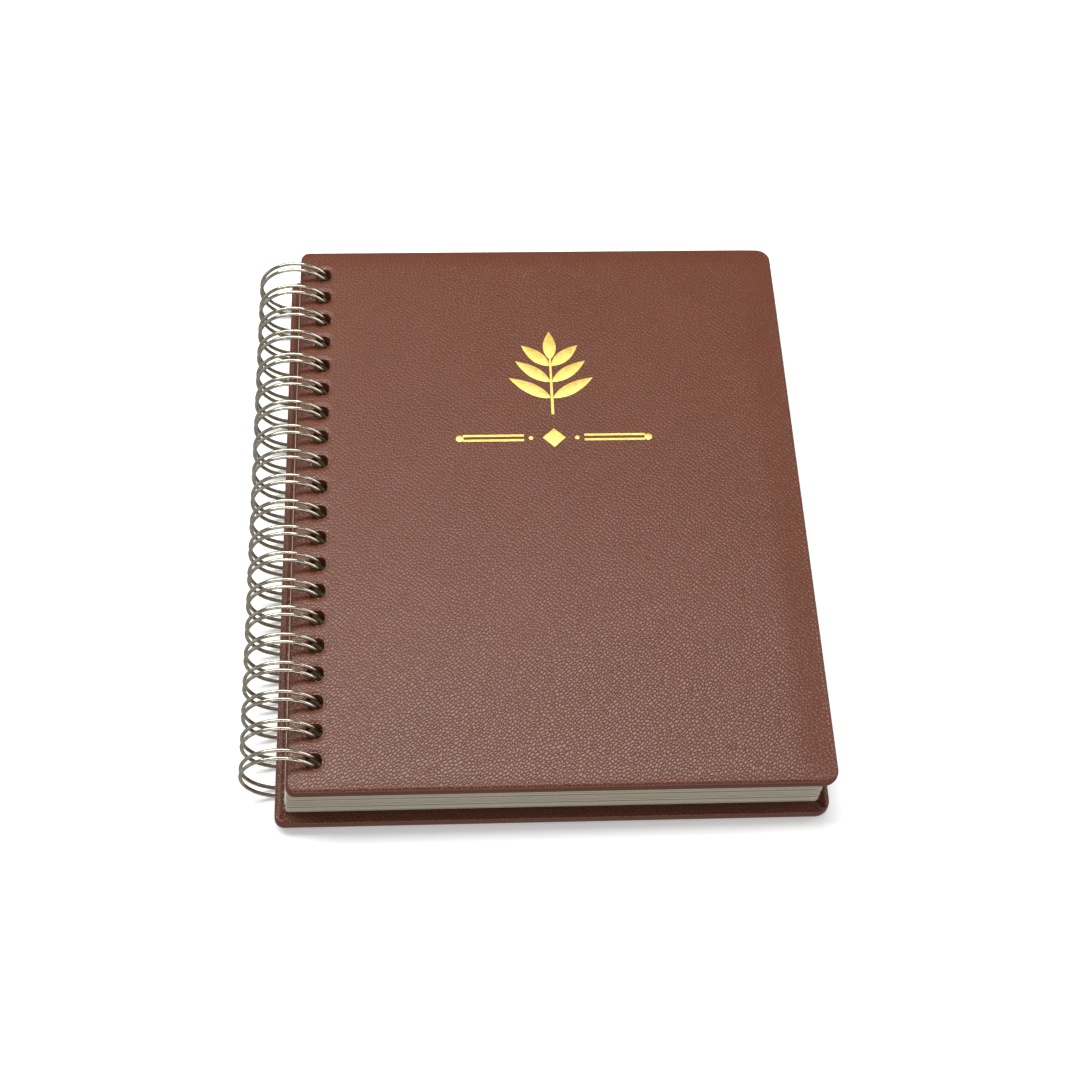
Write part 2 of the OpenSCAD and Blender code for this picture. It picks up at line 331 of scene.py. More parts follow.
def antique_wire():
    """Polished antique-brass plating, darker and duller in patches."""
    made, nodes, links, shader = material("antique_wire")
    wear = node(nodes, "ShaderNodeTexNoise", {"Scale": 0.6, "Detail": 5.0, "Roughness": 0.6})
    links.new(grid_coordinates(nodes, links, (1.0, 1.0, 1.0)), wear.inputs["Vector"])
    dark, light = (0.46, 0.415, 0.31), (0.72, 0.68, 0.55)
    tint(nodes, links, shader, wear.outputs["Fac"], [(0.32, dark), (0.66, light)])
    dull = node(nodes, "ShaderNodeMapRange",
                {"From Min": 0.3, "From Max": 0.7, "To Min": 0.27, "To Max": 0.14})
    links.new(wear.outputs["Fac"], dull.inputs["Value"])
    links.new(dull.outputs["Result"], shader.inputs["Roughness"])
    shader.inputs["Metallic"].default_value = 1.0
    return made


# ---------------------------------------------------------------- covers

GRID = 0.72  # step of a cover's mesh over its middle
EDGE_GRID = 0.36  # and near its edges
CELL_STEPS = 12  # mesh steps along each side of the cell round a hole
CELL_W = 8.0  # a cell's size along X. Along Y it is the pitch.
RINGS = (0.22, 0.42, 0.58, 0.71, 0.81, 0.885, 0.94, 0.975)  # from a cell's border to its hole
EDGE_BAND = 1.0  # width of the band of mesh along the edges
FORE_BAND = 5.0
CREASE = 0.12  # half the width of the step from the turn-in to the endpaper
STRIP_W = 7.0  # the padding is thinner over this width, under the loops
INNER_ROLL = 0.7  # radius of the edge towards the leaves
RIM_FALL = 0.42  # depth of the rounded rim of a hole


def bell(x, width):
    """1 at x 0, falling smoothly to nothing at about twice the width."""
    return math.exp(-(x / width) ** 2)


def nearest_hole_y(y):
    return HOLE_YS[min(LOOPS - 1, max(0, round((y - HOLE_YS[0]) / PITCH)))]


class Cover:
    """One wrapped cover, made with its outer face at z 0 and its inside at z -thick."""

    def __init__(self, low, high, thick, hole_x0, hole_x1, outer_roll, puff, fore_drop, bead):
        """outer_roll is the outer edge's radius, puff the padding's thickness under the loops, fore_drop
        how far the padding is pulled down at the fore edge, and bead the height of the turn-in's seam."""
        self.x0, self.y0, self.x1, self.y1 = low.x, low.y, high.x, high.y
        self.thick, self.outer_roll, self.puff = thick, outer_roll, puff
        self.fore_drop, self.bead = fore_drop, bead
        self.hole_x = (hole_x0 + hole_x1) / 2
        self.hole_w = hole_x1 - hole_x0
        self.points, self.faces = [], []

    def add(self, x, y, z):
        self.points.append((x, y, z))
        return len(self.points) - 1

    # the mesh grid

    def lines(self, stops, first, last):
        """Grid lines between stops (place, step). Moving first and last doesn't change their number."""
        places = [first] + [place for place, _ in stops[1:-1]] + [last]
        out = []
        for i, (place, step) in enumerate(stops[:-1]):
            count = max(1, round((stops[i + 1][0] - place) / step))
            a, b = places[i], places[i + 1]
            out += [a + (b - a) * k / count for k in range(count)]
        return out + [last]

    def columns(self, inset):
        cell0, cell1 = self.hole_x - CELL_W / 2, self.hole_x + CELL_W / 2
        fold0, fold1 = self.x0 + TURN_IN, self.x1 - TURN_IN
        stops = [(self.x0 + EDGE_BAND, EDGE_GRID), (cell0, CELL_W / CELL_STEPS), (cell1, GRID),
                 (fold0 - CREASE, 2 * CREASE), (fold0 + CREASE, GRID),
                 (fold1 - CREASE, 2 * CREASE), (fold1 + CREASE, GRID),
                 (self.x1 - FORE_BAND, EDGE_GRID), (self.x1 - EDGE_BAND, EDGE_GRID)]
        return self.lines(stops, self.x0 + inset, self.x1 - inset)

    def rows(self, inset):
        cell0, cell1 = HOLE_YS[0] - PITCH / 2, HOLE_YS[-1] + PITCH / 2
        stops = [(self.y0 + EDGE_BAND, EDGE_GRID)]
        stops += [(cell0 + k * PITCH, PITCH / CELL_STEPS) for k in range(LOOPS)]
        stops += [(cell1, EDGE_GRID), (self.y1 - EDGE_BAND, EDGE_GRID)]
        self.first_cell_row = round((cell0 - self.y0 - EDGE_BAND) / EDGE_GRID)
        return self.lines(stops, self.y0 + inset, self.y1 - inset)

    # distances and directions

    def nearest_corner(self, x, y):
        """Whether the nearest corner is on the left and whether it is low, and its radius."""
        left, low = x < (self.x0 + self.x1) / 2, y < (self.y0 + self.y1) / 2
        return left, low, SPINE_R if left else FORE_R

    def corner(self, x, y, inset):
        """The place of a grid point once the corners are rounded."""
        left, low, r = self.nearest_corner(x, y)
        r -= inset
        cx = self.x0 + inset + r if left else self.x1 - inset - r
        cy = self.y0 + inset + r if low else self.y1 - inset - r
        u, v = (cx - x if left else x - cx) / r, (cy - y if low else y - cy) / r
        if u <= 0 or v <= 0:
            return x, y
        u, v = u * math.sqrt(1 - v * v / 2), v * math.sqrt(1 - u * u / 2)
        return cx + (-u if left else u) * r, cy + (-v if low else v) * r

    def edge_distance(self, x, y):
        """Distance inwards from the cover's outline."""
        left, low, r = self.nearest_corner(x, y)
        dx = x - self.x0 if left else self.x1 - x
        dy = y - self.y0 if low else self.y1 - y
        if dx < r and dy < r:
            return r - math.hypot(r - dx, r - dy)
        return min(dx, dy)

    def hole_distance(self, x, y):
        """Distance from the nearest hole's outline."""
        dx = abs(x - self.hole_x) - self.hole_w / 2 + HOLE_R
        dy = abs(y - nearest_hole_y(y)) - HOLE_H / 2 + HOLE_R
        return math.hypot(max(dx, 0), max(dy, 0)) + min(max(dx, dy), 0) - HOLE_R

    def outward(self, x, y):
        """The outline's outward direction at a point on the face's border."""
        left, low, r = self.nearest_corner(x, y)
        cx = self.x0 + r if left else self.x1 - r
        cy = self.y0 + r if low else self.y1 - r
        dx, dy = x - cx, y - cy
        hair = 1e-6
        past_x = dx < -hair if left else dx > hair
        past_y = dy < -hair if low else dy > hair
        if past_x and past_y:
            size = math.hypot(dx, dy)
            return dx / size, dy / size
        on_side = min(x - self.x0, self.x1 - x) < min(y - self.y0, self.y1 - y)
        if on_side:
            return (-1.0, 0.0) if left else (1.0, 0.0)
        return (0.0, -1.0) if low else (0.0, 1.0)

    # heights of the two faces

    def outer_z(self, x, y):
        """Height of the padded outer face."""
        from_edge, from_hole = self.edge_distance(x, y), self.hole_distance(x, y)
        from_end, from_fore = min(y - self.y0, self.y1 - y), self.x1 - x
        full = smoothstep(self.x0 + STRIP_W, self.x0 + TURN_IN, x)
        strip_pad = self.puff * (1 - full)

        fore_slope, end_slope = 12.0, 7.5
        crown = smoothstep(0, fore_slope, from_fore) ** 0.7 * smoothstep(0, end_slope, from_end) ** 0.6
        z = (FOAM * full + strip_pad) * crown * smoothstep(0.2, 2.5, from_edge)

        # the punch presses a hole's rim down, and the skin stands up a little round it
        rim_dip, rim_dip_w = 0.08, 0.65
        swell, swell_at, swell_w = 0.05, 1.3, 0.6
        z -= (rim_dip + 0.6 * strip_pad) * bell(max(from_hole, 0), rim_dip_w)
        z += swell * bell(from_hole - swell_at, swell_w)

        # each loop has worn a groove from its hole to the spine edge
        if x < self.hole_x and self.puff:
            groove_depth, groove_w, groove_shift = 0.50, 1.6, 0.8
            groove = bell(y - nearest_hole_y(y) + groove_shift, groove_w)
            z -= groove_depth * groove * smoothstep(0.3, 2.0, from_edge)

        # the fore edge is pulled down, and the whole face is faintly uneven
        drop_w = 11.0
        z -= self.fore_drop * (1 - smoothstep(0, drop_w, from_fore)) ** 1.3
        ripple = 0.02 * math.sin(x * 0.19 + 1.3 * math.sin(y * 0.05)) * math.sin(y * 0.13 + 0.7)
        return z + ripple * smoothstep(3, 12, from_edge)

    def inner_z(self, x, y):
        """Height of the inside: folded-over leatherette, and a sunk panel under the endpaper."""
        from_side, from_end = min(x - self.x0, self.x1 - x), min(y - self.y0, self.y1 - y)
        from_edge = min(from_side, from_end)

        # the turn-ins lap over each other on a slant at the corners
        mitre = 0.0
        mitre_h, mitre_w, lap_at, lap_w = 0.42, 0.65, 1.4, 0.7
        if max(from_side, from_end) < TURN_IN + 0.5:
            start = smoothstep(0.5, 1.6, from_edge)
            mitre = mitre_h * bell(from_side - from_end, mitre_w) * start
            lap = bell(from_side - from_end - lap_at, lap_w) * start
            mitre -= self.bead / 2 * lap * (1 - smoothstep(2.2, 3.0, from_edge))

        # the seam along the spine, fore and foot edges
        bead_at, bead_w = 1.35, 0.42
        from_seamed = min(x - self.x0, self.x1 - x, y - self.y0)
        bead = self.bead * bell(from_seamed - bead_at, bead_w) * smoothstep(2.0, 5.0, self.y1 - y)

        sunk = 0.40 if from_edge > TURN_IN else 0.0
        rim, rim_w = 0.12, 0.6
        hole_rim = rim * bell(max(self.hole_distance(x, y), 0), rim_w)
        return -self.thick + sunk + mitre + hole_rim - bead

    # faces

    def side(self, height, inset, flip):
        """One face as a grid with rings of mesh round each hole. Returns its outline and hole loops."""
        xs, ys = self.columns(inset), self.rows(inset)
        last_i, last_j, n = len(xs) - 1, len(ys) - 1, CELL_STEPS
        c0 = min(range(len(xs)), key=lambda i: abs(xs[i] - (self.hole_x - CELL_W / 2)))
        r0 = self.first_cell_row

        def quad(a, b, c, d):
            self.faces.append((a, d, c, b) if flip else (a, b, c, d))

        def in_cells(i, j):
            return c0 <= i < c0 + n and 0 <= j - r0 < LOOPS * n

        def off_borders(i, j):
            return i > c0 and (j - r0) % n > 0

        at = {}
        for j, y in enumerate(ys):
            for i, x in enumerate(xs):
                if not (in_cells(i, j) and off_borders(i, j)):
                    px, py = self.corner(x, y, inset)
                    at[i, j] = self.add(px, py, height(px, py))
        for j in range(last_j):
            for i in range(last_i):
                if not in_cells(i, j):
                    quad(at[i, j], at[i + 1, j], at[i + 1, j + 1], at[i, j + 1])

        holes = []
        for k in range(LOOPS):
            j0 = r0 + k * n
            border = [(c0 + s, j0) for s in range(n)]
            border += [(c0 + n, j0 + s) for s in range(n)]
            border += [(c0 + n - s, j0 + n) for s in range(n)]
            border += [(c0, j0 + n - s) for s in range(n)]
            loop = [at[place] for place in border]
            starts = [self.points[v][:2] for v in loop]
            ends = [self.hole_point(s, k) for s in range(4 * n)]
            for share in RINGS:
                ring = []
                for (ax, ay), (bx, by) in zip(starts, ends):
                    px, py = ax + (bx - ax) * share, ay + (by - ay) * share
                    ring.append(self.add(px, py, height(px, py)))
                for s in range(4 * n):
                    t = (s + 1) % (4 * n)
                    quad(loop[s], loop[t], ring[t], ring[s])
                loop = ring
            holes.append(loop)

        outline = [at[i, 0] for i in range(last_i)]
        outline += [at[last_i, j] for j in range(last_j)]
        outline += [at[i, last_j] for i in range(last_i, 0, -1)]
        outline += [at[0, j] for j in range(last_j, 0, -1)]
        return outline, holes

    def hole_point(self, s, k):
        """Point s on hole k's rounded-square outline, in step with the border of its cell."""
        w, h, r = self.hole_w / 2 - WALL, HOLE_H / 2 - WALL, HOLE_R - WALL
        quarter, step = divmod(s, CELL_STEPS)
        t = 2 * step / CELL_STEPS - 1
        straight = 2 / 3  # share of the points that lie on a side and not on a corner
        a, b = (w, h) if quarter % 2 == 0 else (h, w)
        if abs(t) <= straight:
            along, out = (a - r) * t / straight, b
        else:
            turn = math.radians(45) * (abs(t) - straight) / (1 - straight)
            along = math.copysign(a - r + r * math.sin(turn), t)
            out = b - r + r * math.cos(turn)
        x, y = [(along, -out), (out, along), (-along, out), (-out, -along)][quarter]
        return self.hole_x + x, HOLE_YS[k] + y

    def loops_out(self, outline, roll, z_edge, direction, count):
        """Loops that carry a face's outline over a rounded edge. direction is -1 down, 1 up."""
        base = [(self.points[v], self.outward(*self.points[v][:2])) for v in outline]
        loops = []
        for s in range(1, count + 1):
            a = math.radians(90) * s / count
            fall = roll * (1 - math.cos(a))
            loops.append([self.add(x + nx * roll * math.sin(a), y + ny * roll * math.sin(a),
                                   z + direction * fall + (z_edge - z) * s / count)
                          for (x, y, z), (nx, ny) in base])
        return loops

    def bridge(self, a, b):
        n = len(a)
        for s in range(n):
            t = (s + 1) % n
            self.faces.append((a[s], b[s], b[t], a[t]))

    def line_hole(self, k, top, bottom):
        """Hole k's wall: a rounded rim at the outer face, then straight through to the other."""
        wall = [self.hole_point(s, k) for s in range(len(top))]
        rings = [top]
        for share in (0.35, 0.7, 1.0):
            a = math.radians(90) * share
            ring = []
            for v, (x, y) in zip(top, wall):
                px, py, pz = self.points[v]
                ring.append(self.add(px + (x - px) * math.sin(a), py + (y - py) * math.sin(a),
                                     pz - RIM_FALL * (1 - math.cos(a))))
            rings.append(ring)
        inner_rim = 0.25
        rings.append([self.add(x, y, self.points[v][2] + inner_rim) for v, (x, y) in zip(bottom, wall)])
        rings.append(bottom)
        for a, b in zip(rings, rings[1:]):
            self.bridge(b, a)

    def build(self):
        """Makes both faces, and closes the cover round its edge and through its holes."""
        outline, holes = self.side(self.outer_z, self.outer_roll, False)
        inner_outline, inner_holes = self.side(self.inner_z, INNER_ROLL, True)
        if len(outline) != len(inner_outline):
            raise ValueError(f"the faces have {len(outline)} and {len(inner_outline)} border points")
        chain = [outline] + self.loops_out(outline, self.outer_roll, 0.0, -1, 7)
        chain += reversed(self.loops_out(inner_outline, INNER_ROLL, -self.thick, 1, 4))
        chain.append(inner_outline)
        for a, b in zip(chain, chain[1:]):
            self.bridge(a, b)
        for k, (top, bottom) in enumerate(zip(holes, inner_holes)):
            self.line_hole(k, top, bottom)
        return self


def loop_reach(radius, z):
    """How far from the loops' axis, along X, a circle round it crosses height z."""
    return math.sqrt(radius ** 2 - (z - AXIS_Z) ** 2)


def tenths_up(x):
    return math.ceil(10 * x) / 10


def tenths_down(x):
    return math.floor(10 * x) / 10


def make_front_cover(skin):
    low, high = FRONT_LOW, FRONT_HIGH
    outer = loop_reach(LOOP_R + WIRE_D / 2, low.z)
    hole_x1 = tenths_up(AXIS_X + outer + HOLE_GAP - low.x) + low.x
    cover = Cover(low, high, FACE_Z - low.z, hole_x1 - HOLE_W, hole_x1,
                  outer_roll=1.15, puff=0.32, fore_drop=0.38, bead=0.0).build()
    points = [(x, y, z + FACE_Z) for x, y, z in cover.points]
    return new_piece("front_cover_wrap", points, cover.faces, skin, "front_cover",
                     ["front_wrap"])


def make_back_cover(skin):
    low, high = BACK_LOW, BACK_HIGH
    under = low.z + FOAM
    inner = loop_reach(LOOP_R - WIRE_D / 2, under)
    outer = loop_reach(LOOP_R + WIRE_D / 2, high.z)
    spine = low.x + SPINE_OVER  # the front cover's spine edge
    hole_x0 = tenths_down(AXIS_X + inner - HOLE_GAP - spine) + spine
    hole_x1 = tenths_up(AXIS_X + outer + HOLE_GAP - spine) + spine
    cover = Cover(low, high, high.z - under, hole_x0, hole_x1,
                  outer_roll=0.9, puff=0.0, fore_drop=0.0, bead=0.26).build()
    points = [(x, y, under - z) for x, y, z in cover.points]
    faces = [tuple(reversed(f)) for f in cover.faces]
    return new_piece("back_cover_wrap", points, faces, skin, "back_cover", ["back_wrap"])


# ---------------------------------------------------------------- wire

def wire_path():
    """The one wire's centre line, from its cut end at the foot to its cut end at the head."""
    half = math.degrees(SEAM_GAP / 2 / LOOP_R)
    tip, root = math.radians(SEAM_MIDDLE + half), math.radians(360 + SEAM_MIDDLE - half)
    at_tip = Vector((math.sin(tip), 0, -math.cos(tip)))
    at_root = Vector((-math.sin(root), 0, math.cos(root)))
    along = Vector((0, 1, 0))
    arc_steps, bend_steps, gap = 72, 8, TWIN_GAP / 2
    most_lean = 0.10  # no two loops stand quite alike
    wander = random.Random(7)

    def on_loop(angle, y):
        return Vector((AXIS_X + LOOP_R * math.cos(angle), y, AXIS_Z + LOOP_R * math.sin(angle)))

    def arc(y, lean, phase):
        """From the root over the top to the tip."""
        shares = [t / arc_steps for t in range(arc_steps + 1)]
        return [on_loop(root + (tip - root) * t,
                        y + lean * math.sin(math.pi * t) * math.cos(phase + t)) for t in shares]

    def link(y, way, steps):
        """One end of the link between two loops, where it leaves the loop's root along way."""
        turns = [math.pi / 2 * b / bend_steps for b in steps]
        return [on_loop(root, y) + along * way * LINK_BEND * (1 - math.cos(a))
                + at_root * LINK_BEND * math.sin(a) for a in turns]

    path = []
    for i, middle in enumerate(HOLE_YS):
        lean, phase = wander.uniform(-most_lean, most_lean), wander.uniform(0, math.tau)
        path += arc(middle - gap, lean, phase)
        centre = on_loop(tip, middle)
        for b in range(1, 2 * bend_steps):
            a = math.pi * b / (2 * bend_steps)
            path.append(centre - along * gap * math.cos(a) + at_tip * gap * math.sin(a))
        path += reversed(arc(middle + gap, lean, phase))
        if i < LOOPS - 1:
            path += link(middle + gap, 1, range(1, bend_steps + 1))
            path += link(HOLE_YS[i + 1] - gap, -1, range(bend_steps, 0, -1))
    return path


def make_wire(metal):
    """A tube along the wire's path, with flat ends."""
    path, sides, r = wire_path(), 14, WIRE_D / 2
    points, faces = [], []
    tangent = (path[1] - path[0]).normalized()
    normal = tangent.cross(Vector((0, 1, 0))).normalized()
    for i, p in enumerate(path):
        ahead = (path[min(i + 1, len(path) - 1)] - path[max(i - 1, 0)]).normalized()
        normal = (normal - ahead * normal.dot(ahead)).normalized()
        across = ahead.cross(normal)
        for s in range(sides):
            a = math.tau * s / sides
            points.append(tuple(p + normal * r * math.cos(a) + across * r * math.sin(a)))
    for i in range(len(path) - 1):
        for s in range(sides):
            t = (s + 1) % sides
            a, b = i * sides, (i + 1) * sides
            faces.append((a + s, b + s, b + t, a + t))
    faces.append(tuple(range(sides)))
    last = (len(path) - 1) * sides
    faces.append(tuple(last + s for s in reversed(range(sides))))
    faces = [tuple(reversed(f)) for f in faces]
    return new_piece("twin_loop_wire", points, faces, metal, "back_cover", ["binding_wire"])


# ---------------------------------------------------------------- leaves

LEAF_T = 0.086  # a little less than the leaves' step, so that they show apart
LEAF_R = 1.5
LEAF_MARGIN = 7.2  # from the leaf's spine edge to the middle of its holes
LEAF_HOLE_W = 5.4
LEAF_HOLE_H = 4.2
HOLE_NICK = 0.5  # the holes' corners are cut off by this much
SET_BACK = (-0.45, 0.55)  # towards the spine and the head


def leaf_loops(width, height, foot):
    """A leaf's outline and its square holes, as flat loops from its spine edge and foot, at y foot."""
    outline, turn_steps = [], 8
    for r, right, head, first in ((LEAF_R / 4, 0, 0, 180), (LEAF_R, 1, 0, 270),
                                  (LEAF_R, 1, 1, 0), (LEAF_R / 4, 0, 1, 90)):
        cx = width - r if right else r
        cy = height - r if head else r
        for s in range(turn_steps + 1):
            a = math.radians(first + 90 * s / turn_steps)
            outline.append((cx + r * math.cos(a), cy + r * math.sin(a)))
    loops = [outline]
    for middle in HOLE_YS:
        hole = []
        for sx, sy in ((-1, -1), (-1, 1), (1, 1), (1, -1)):
            a = (sx * LEAF_HOLE_W / 2, sy * (LEAF_HOLE_H / 2 - HOLE_NICK))
            b = (sx * (LEAF_HOLE_W / 2 - HOLE_NICK), sy * LEAF_HOLE_H / 2)
            hole += [b, a] if sx * sy > 0 else [a, b]
        loops.append([(LEAF_MARGIN + x, middle - foot + y) for x, y in hole])
    return loops


def leaf_slip(wander):
    """How far a leaf lies out of line. One in seven stands out a little more than the rest."""
    slip_x, slip_y = wander.uniform(-0.16, 0.16), wander.uniform(-0.12, 0.12)
    if wander.random() < 0.14:
        slip_y += wander.choice((-0.22, 0.24))
        slip_x += wander.choice((-0.15, 0.20))
    return slip_x, slip_y


def make_leaves(name, count, paper, body, wander, recessed=0):
    """Separate leaves in the space of one CAD block, with the lowest ones set back by SET_BACK."""
    low, high = mm_box(name)
    width, height = high.x - low.x, high.y - low.y
    loops = leaf_loops(width, height, low.y)
    flat = [p for loop in loops for p in loop]
    triangles = tessellate_polygon([[Vector((x, y, 0)) for x, y in loop] for loop in loops])
    points, faces, is_face = [], [], []  # is_face is 1 on a page and 0 on a leaf's cut edge
    step = (high.z - low.z) / count
    for leaf in range(count):
        slip_x, slip_y = leaf_slip(wander)
        if leaf >= count - recessed:
            slip_x, slip_y = SET_BACK
        z1 = high.z - leaf * step - (step - LEAF_T) / 2
        z0 = z1 - LEAF_T
        base, n = len(points), len(flat)
        for z in (z1, z0):
            points += [(low.x + x + slip_x, low.y + y + slip_y, z) for x, y in flat]
        for a, b, c in triangles:
            (ax, ay), (bx, by), (cx, cy) = flat[a], flat[b], flat[c]
            if (bx - ax) * (cy - ay) - (by - ay) * (cx - ax) < 0:
                b, c = c, b
            faces += [(base + a, base + b, base + c), (base + n + c, base + n + b, base + n + a)]
            is_face += [1.0, 1.0]
        start = 0
        for loop in loops:
            m = len(loop)
            for s in range(m):
                a, b = base + start + s, base + start + (s + 1) % m
                faces.append((a, a + n, b + n, b))
                is_face.append(0.0)
            start += m
    made_name = name + ("_leaves" if count > 1 else "_sheet")
    piece = new_piece(made_name, points, faces, paper, body, [name], smooth=20)
    attribute = piece.data.attributes.new("page_face", "FLOAT", "FACE")
    if len(attribute.data) != len(is_face):
        raise ValueError(name + ": a leaf face was dropped")
    attribute.data.foreach_set("value", is_face)
    return piece


# ---------------------------------------------------------------- gilt ornament

SUNK = 0.25  # the ornament's solids reach this far into the cover
FOIL_EDGE = 0.045  # height of a gilt leaf's edge over the cover


def add_leaf(points, faces, origin, turn, length, width, z):
    """A pointed leaf with a raised midrib, laid on the cover."""
    stations, base, rise = 14, len(points), 0.16
    for s in range(stations + 1):
        t = s / stations
        half, rib = 0.02, 0.0
        if 0 < s < stations:
            half = width / 2 * math.sin(math.pi * t ** 0.85) ** 0.9
            rib = rise * math.sin(math.pi * min(1, t * 1.02))
        section = ((-1, FOIL_EDGE), (0, FOIL_EDGE + rib), (1, FOIL_EDGE), (1, -SUNK), (-1, -SUNK))
        for side, up in section:
            x, y = t * length, side * half
            points.append((origin[0] + x * math.cos(turn) - y * math.sin(turn),
                           origin[1] + x * math.sin(turn) + y * math.cos(turn), z + up))
    for s in range(stations):
        a, b = base + 5 * s, base + 5 * (s + 1)
        for i in range(5):
            j = (i + 1) % 5
            faces.append((a + i, b + i, b + j, a + j))
    faces.append(tuple(base + i for i in range(5)))
    faces.append(tuple(base + 5 * stations + i for i in reversed(range(5))))


def add_raised(points, faces, outline, z, rise, bevel):
    """A low solid with a bevelled top over a convex outline."""
    n, base = len(outline), len(points)
    cx = sum(p[0] for p in outline) / n
    cy = sum(p[1] for p in outline) / n
    for inset, up in ((0, -SUNK), (0, rise * 0.4), (bevel, rise)):
        for x, y in outline:
            size = math.hypot(x - cx, y - cy)
            k = max(0.0, 1 - inset / size)
            points.append((cx + (x - cx) * k, cy + (y - cy) * k, z + up))
    for level in (0, 1):
        for s in range(n):
            t = (s + 1) % n
            a, b = base + level * n, base + (level + 1) * n
            faces.append((a + s, a + t, b + t, b + s))
    faces.append(tuple(base + 2 * n + s for s in range(n)))
    faces.append(tuple(base + s for s in reversed(range(n))))


def disc(cx, cy, r):
    turns = [math.tau * s / 24 for s in range(24)]
    return [(cx + r * math.cos(a), cy + r * math.sin(a)) for a in turns]


def bar(x0, x1, y0, y1):
    return [(x0, y0), (x1, y0), (x1, y1), (x0, y1)]


def make_sprig(gold):
    """A stem with three pairs of leaves and one at its tip."""
    low, high = mm_box("foil_sprig")
    cx, foot, tall, z = (low.x + high.x) / 2, low.y, high.y - low.y, FRONT_HIGH.z
    stem, pairs, leaf_w = tall * 0.66, 3, tall / 8
    points, faces = [], []
    for row in range(pairs):
        y = foot + stem * (row + 1) / (pairs + 0.4)
        leaf_l = tall * (0.46 - 0.05 * row)
        for s in (-1, 1):
            turn = math.radians(90 - s * (58 - 6 * row))
            add_leaf(points, faces, (cx + s * 0.3, y), turn, leaf_l, leaf_w, z)
    add_leaf(points, faces, (cx, foot + stem), math.radians(90), tall - stem, leaf_w, z)
    stem_foot, stem_tip, stem_top = 0.42, 0.3, foot + stem + 0.6
    add_raised(points, faces, [(cx - stem_foot, foot), (cx + stem_foot, foot),
                               (cx + stem_tip, stem_top), (cx - stem_tip, stem_top)], z, 0.09, 0.12)
    return new_piece("gilt_sprig", points, faces, gold, "front_cover", ["foil_sprig"], smooth=14)


def make_rule(gold):
    """A lozenge between dots, pairs of bars and end discs."""
    low, high = mm_box("foil_rule")
    cx, cy, width, z = (low.x + high.x) / 2, (low.y + high.y) / 2, high.x - low.x, FRONT_HIGH.z
    tall, thin = 6.5, 0.7
    points, faces = [], []
    point = tall * 0.7 / math.sqrt(2)
    lozenge = [(cx + point, cy), (cx, cy + point), (cx - point, cy), (cx, cy - point)]
    add_raised(points, faces, lozenge, z, 0.12, 1.0)
    for s in (-1, 1):
        add_raised(points, faces, disc(cx + s * tall, cy, tall / 10), z, 0.10, 0.2)
        add_raised(points, faces, disc(cx + s * (width / 2 - tall / 6), cy, tall / 6), z, 0.12, 0.35)
        middle, half = s * (width / 4 + tall / 2), (width / 2 - tall * 1.6) / 2
        for up in (-1, 1):
            y = cy + up * tall / 8
            line = bar(cx + middle - half, cx + middle + half, y - thin / 2, y + thin / 2)
            add_raised(points, faces, line, z, 0.08, 0.05)
    return new_piece("gilt_rule", points, faces, gold, "front_cover", ["foil_rule"], smooth=14)


# ---------------------------------------------------------------- stage

def floor_material():
    """A white floor that glows a little, so that it stays pale at its far side."""
    made, _, _, shader = material("studio_floor")
    shader.inputs["Base Color"].default_value = (0.93, 0.93, 0.93, 1)
    shader.inputs["Roughness"].default_value = 0.9
    shader.inputs["Emission Color"].default_value = (1, 1, 1, 1)
    shader.inputs["Emission Strength"].default_value = 0.34
    return made


def make_stage():
    """A floor just under the loops and the back cover's fore edge, on which the notebook rests."""
    size, gap = 3000.0, 0.05
    rest_left, rest_right = Vector((AXIS_X, 0, WIRE_LOW.z)), Vector((BACK_HIGH.x, 0, BACK_LOW.z))
    slope = (rest_right.z - rest_left.z) / (rest_right.x - rest_left.x)
    points = [(sx * size, sy * size, rest_left.z + slope * (sx * size - rest_left.x) - gap)
              for sx, sy in ((-1, -1), (1, -1), (1, 1), (-1, 1))]
    mesh = bpy.data.meshes.new("studio_floor")
    mesh.from_pydata([tuple(c * MM for c in p) for p in points], [], [(0, 1, 2, 3)])
    mesh.materials.append(floor_material())
    floor = bpy.data.objects.new("studio_floor", mesh)
    floor.visible_diffuse = floor.visible_glossy = False
    bpy.context.scene.collection.objects.link(floor)


def area_light(name, place, target, width, depth, power):
    data = bpy.data.lights.new(name, "AREA")
    data.shape, data.size, data.size_y = "RECTANGLE", width, depth
    data.energy = power
    lamp = bpy.data.objects.new(name, data)
    lamp.location = place
    lamp.rotation_euler = (Vector(target) - Vector(place)).to_track_quat("-Z", "Y").to_euler()
    bpy.context.scene.collection.objects.link(lamp)


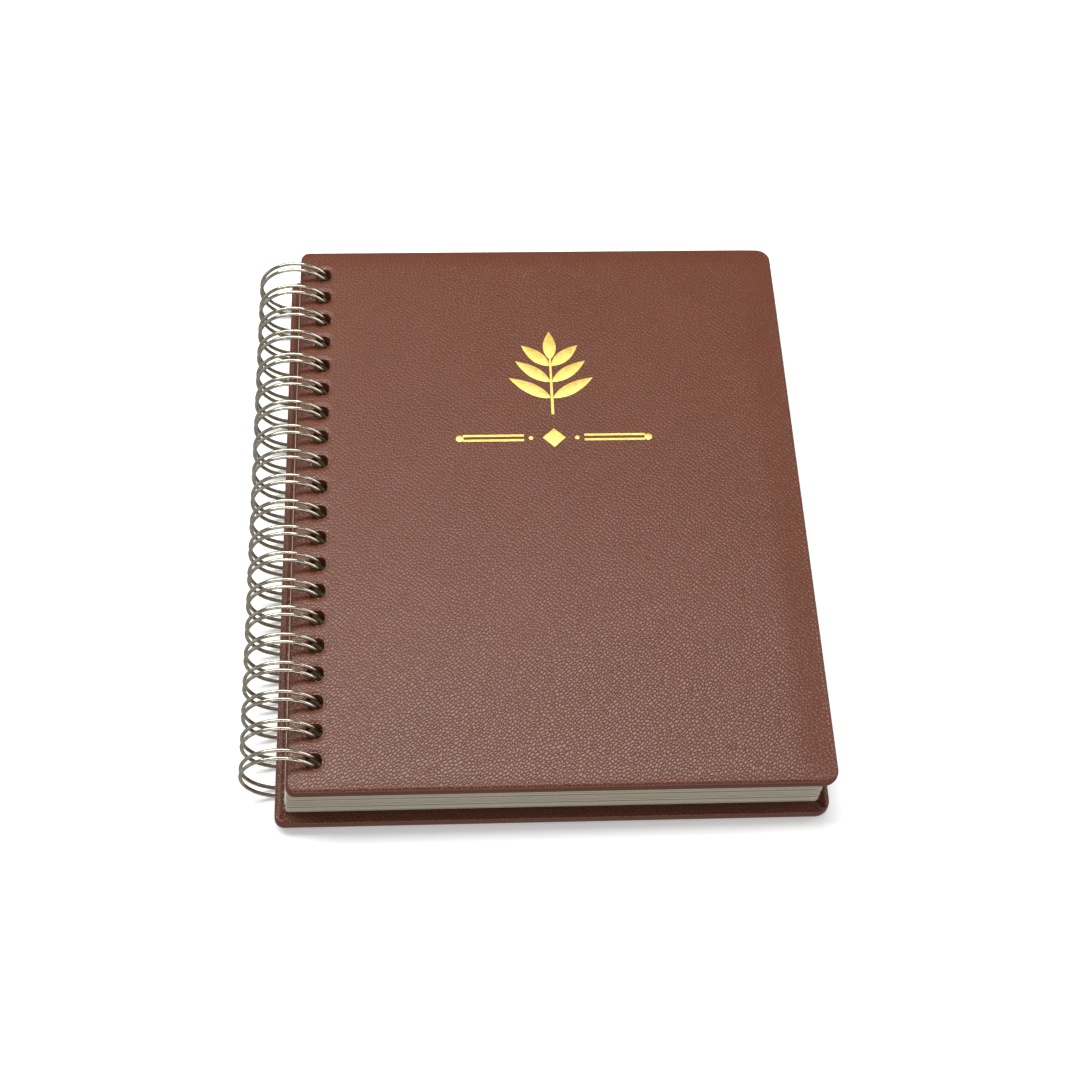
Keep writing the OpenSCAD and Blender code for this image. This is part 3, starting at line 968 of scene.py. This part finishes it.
def make_lights():
    """Three softboxes, and a sky that is brightest at the horizon."""
    area_light("overhead_softbox", (-0.26, 0.17, 0.62), (-0.26, 0, 0), width=0.95, depth=0.28, power=6.8)
    area_light("right_softbox", (0.85, 0.12, 0.42), (0, 0.12, 0), width=0.7, depth=0.6, power=3.0)
    area_light("foot_softbox", (0.0, -0.75, 0.12), (0, 0, 0.01), width=0.8, depth=0.2, power=1.45)
    world = bpy.data.worlds.new("studio")
    world.use_nodes = True
    nodes, links = world.node_tree.nodes, world.node_tree.links
    place = node(nodes, "ShaderNodeTexCoord")
    axes = node(nodes, "ShaderNodeSeparateXYZ")
    height = node(nodes, "ShaderNodeMapRange", {"From Min": -1.0, "From Max": 1.0})
    sky = ramp(nodes, [(0.42, (0.36, 0.36, 0.36)), (0.50, (0.70, 0.70, 0.70)),
                       (0.62, (0.16, 0.16, 0.16))])
    links.new(place.outputs["Generated"], axes.inputs["Vector"])
    links.new(axes.outputs["Z"], height.inputs["Value"])
    links.new(height.outputs["Result"], sky.inputs["Fac"])
    links.new(sky.outputs["Color"], nodes["Background"].inputs["Color"])
    bpy.context.scene.world = world
    bpy.context.scene.view_settings.view_transform = "Standard"


def make_camera():
    """A camera above the foot of the notebook, which looks at the front cover."""
    data = bpy.data.cameras.new("camera")
    data.lens = 69.46
    data.sensor_width = 36.0
    data.clip_start, data.clip_end = 0.01, 10
    camera = bpy.data.objects.new("camera", data)
    camera.location = (-0.02567, -0.32771, 0.48417)
    camera.rotation_euler = [math.radians(a) for a in (33.976, -1.946, -2.334)]
    bpy.context.scene.collection.objects.link(camera)
    bpy.context.scene.camera = camera


# ---------------------------------------------------------------- the notebook

def paint(node_name, look):
    """Gives a CAD node that stays its finish."""
    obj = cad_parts[node_name]
    obj.data.materials.clear()
    obj.data.materials.append(look)


make_camera()
skin, gold, paper = leatherette(), gilt(), page_paper()
for cover in (make_front_cover(skin), make_back_cover(skin)):
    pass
make_wire(antique_wire())
slips = random.Random(11)
make_leaves("first_leaf", 1, paper, "first_leaf", slips)
for first, body in ((1, "front_leaves"), (4, "middle_leaves"), (7, "back_leaves")):
    for number in range(first, first + 3):
        recessed = 2 if number in (3, 6) else 0
        make_leaves(f"page_block_{number}", 11, paper, body, slips, recessed)
make_sprig(gold)
make_rule(gold)

lining = endpaper()
greyboard = fibrous("greyboard", (0.24, 0.22, 0.19), (0.36, 0.34, 0.30), (1.2, 1.2, 0.25))
foam = fibrous("foam", (0.62, 0.58, 0.50), (0.74, 0.70, 0.62), (0.3, 0.3, 0.3))
for side in ("front", "back"):
    paint(side + "_liner", lining)
    paint(side + "_board", greyboard)
    paint(side + "_padding", foam)

make_stage()
make_lights()
